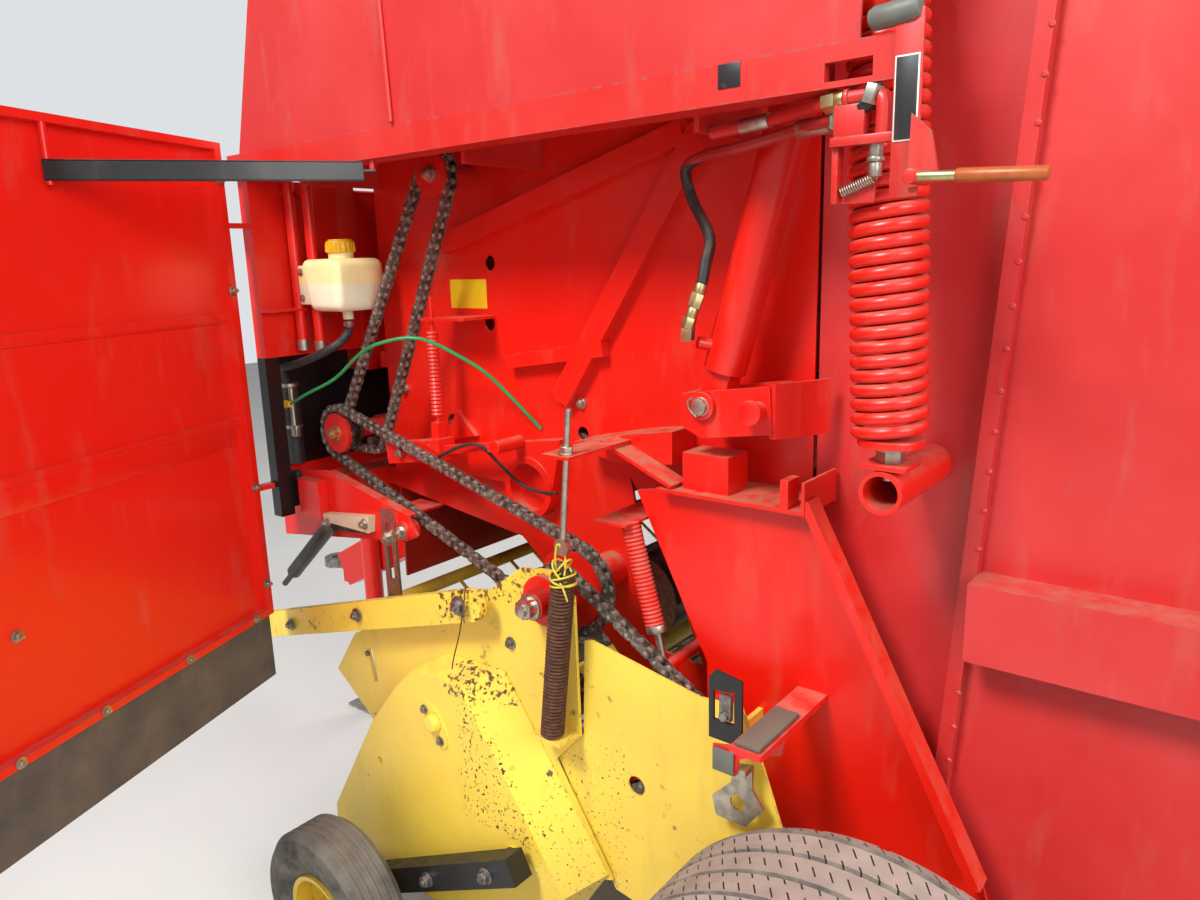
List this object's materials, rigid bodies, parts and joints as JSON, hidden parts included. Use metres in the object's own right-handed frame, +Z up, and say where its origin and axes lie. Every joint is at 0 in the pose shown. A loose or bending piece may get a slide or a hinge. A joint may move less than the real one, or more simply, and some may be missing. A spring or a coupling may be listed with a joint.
{
  "type": "round baler",
  "caption": "Towed round baler with tailgate, tined pickup, side doors, lift cylinders, drive chains, drawbar and wheels; the left side door stands open.",
  "frame": {"origin": "middle of the towing eye's bore", "axes": "X rearward along the machine, +Y the machine's right, +Z up; the ground is 0.48 m below the origin"},
  "size_m": [3.576, 3.279, 2.69],
  "materials": {
    "red_paint": "worn",
    "eye_iron": "worn",
    "zinc_steel": "worn",
    "gear_iron": "worn",
    "roller_steel": "worn",
    "black_steel": "worn",
    "black_rubber": "worn",
    "lamp_plastic": "worn",
    "chain_steel": "worn",
    "bottle_plastic": "worn",
    "hose_rubber": "worn",
    "cable_jacket": "worn",
    "yellow_paint": "worn",
    "rusty_steel": "worn",
    "tyre_rubber": "worn"
  },
  "bodies": {
    "body": {"drawbar": "red_paint", "towing_eye": "eye_iron", "jack_tube": "red_paint", "gearbox": "gear_iron", "front_frame": "red_paint", "twine_box": "red_paint", "side_walls": "red_paint", "throat_rollers": "roller_steel", "axle": "black_steel", "top_rails": "red_paint", "upper_cover": "red_paint", "cylinder_brackets": "red_paint", "chains": "chain_steel", "sprockets": "red_paint", "chain_tensioner": "red_paint", "oil_bottle": "bottle_plastic", "oil_line": "hose_rubber", "hydraulic_hoses": "hose_rubber", "signal_cable": "cable_jacket", "valve_stand": "red_paint", "door_catch": "red_paint", "rear_shields": "yellow_paint", "zinc_parts": "zinc_steel", "black_fittings": "black_steel"},
    "tailgate": {"tailgate": "red_paint", "gate_rollers": "roller_steel", "belts": "black_rubber", "tension_springs": "red_paint", "rear_lamps": "lamp_plastic"},
    "left_door": {"door_left": "red_paint", "flap_left": "black_rubber"},
    "right_door": {"door_right": "red_paint", "flap_right": "black_rubber"},
    "stay": {"stay_bar": "black_steel"},
    "left_barrel": {"barrel_left": "red_paint"},
    "left_rod": {"rod_left": "zinc_steel"},
    "right_barrel": {"barrel_right": "red_paint"},
    "right_rod": {"rod_right": "zinc_steel"},
    "jack_leg": {"jack_leg": "zinc_steel"},
    "twine_lid": {"twine_lid": "red_paint"},
    "pickup": {"pickup_frame": "yellow_paint", "pickup_bands": "zinc_steel", "pickup_shields": "yellow_paint", "pickup_springs": "rusty_steel", "wind_guard": "yellow_paint"},
    "reel": {"tine_reel": "roller_steel"},
    "left_wheel": {"tyre_left": "tyre_rubber", "rim_left": "yellow_paint"},
    "right_wheel": {"tyre_right": "tyre_rubber", "rim_right": "yellow_paint"},
    "left_gauge_wheel": {"gauge_tyre_left": "tyre_rubber", "gauge_rim_left": "yellow_paint"},
    "right_gauge_wheel": {"gauge_tyre_right": "tyre_rubber", "gauge_rim_right": "yellow_paint"}
  },
  "joints": [
    {"name": "tailgate_hinge", "type": "hinge", "parent": "body", "child": "tailgate", "pos_m": [2.27, 0, 1.94], "axis": [0, -1, 0], "range_deg": [0, 55]},
    {"name": "left_door_hinge", "type": "hinge", "parent": "body", "child": "left_door", "pos_m": [1.072, -0.925, 0.92], "axis": [0, 0, 1], "range_deg": [0, 67.4]},
    {"name": "right_door_hinge", "type": "hinge", "parent": "body", "child": "right_door", "pos_m": [1.072, 0.925, 0.92], "axis": [0, 0, 1], "range_deg": [0, 100]},
    {"name": "stay_hinge", "type": "hinge", "parent": "left_door", "child": "stay", "pos_m": [1.27493, -1.36045, 1.408], "axis": [0, 0, 1], "range_deg": [-125, 0.5]},
    {"name": "jack_slide", "type": "slide", "parent": "body", "child": "jack_leg", "axis": [0, 0, 1], "range_m": [0, 0.25]},
    {"name": "twine_lid_hinge", "type": "hinge", "parent": "body", "child": "twine_lid", "pos_m": [1.079, 0, 1.416], "axis": [0, 1, 0], "range_deg": [0, 80]},
    {"name": "pickup_lift", "type": "hinge", "parent": "body", "child": "pickup", "pos_m": [1.975, 0, 0.556], "axis": [0, 1, 0], "range_deg": [0, 14]},
    {"name": "reel_spin", "type": "hinge", "parent": "pickup", "child": "reel", "pos_m": [1.5, 0, -0.06], "axis": [0, -1, 0], "continuous": true},
    {"name": "left_wheel_spin", "type": "hinge", "parent": "body", "child": "left_wheel", "pos_m": [2.697, -0.995, -0.065], "axis": [0, -1, 0], "continuous": true},
    {"name": "right_wheel_spin", "type": "hinge", "parent": "body", "child": "right_wheel", "pos_m": [2.697, 0.995, -0.065], "axis": [0, -1, 0], "continuous": true},
    {"name": "left_gauge_spin", "type": "hinge", "parent": "pickup", "child": "left_gauge_wheel", "pos_m": [1.45, -1.045, -0.274], "axis": [0, -1, 0], "continuous": true},
    {"name": "right_gauge_spin", "type": "hinge", "parent": "pickup", "child": "right_gauge_wheel", "pos_m": [1.45, 1.045, -0.274], "axis": [0, -1, 0], "continuous": true},
    {"name": "left_barrel_swing", "type": "hinge", "parent": "body", "child": "left_barrel", "pos_m": [2.298, -0.704, 0.966], "axis": [0, -1, 0], "range_deg": [-1, 8]},
    {"name": "left_rod_slide", "type": "slide", "parent": "left_barrel", "child": "left_rod", "axis": [0.2799, 0, 0.96], "range_m": [0, 0.32]},
    {"name": "right_barrel_swing", "type": "hinge", "parent": "body", "child": "right_barrel", "pos_m": [2.298, 0.704, 0.966], "axis": [0, -1, 0], "range_deg": [-1, 8]},
    {"name": "right_rod_slide", "type": "slide", "parent": "right_barrel", "child": "right_rod", "axis": [0.2799, 0, 0.96], "range_m": [0, 0.32]}
  ],
  "couplings": [
    {"joint": "stay_hinge", "follows": "left_door_hinge", "ratio": -1.8472},
    {"joint": "left_barrel_swing", "follows": "tailgate_hinge", "ratio": 0.0619},
    {"joint": "left_rod_slide", "follows": "tailgate_hinge", "m_per_rad": 0.2873},
    {"joint": "right_barrel_swing", "follows": "tailgate_hinge", "ratio": 0.0619},
    {"joint": "right_rod_slide", "follows": "tailgate_hinge", "m_per_rad": 0.2873}
  ]
}
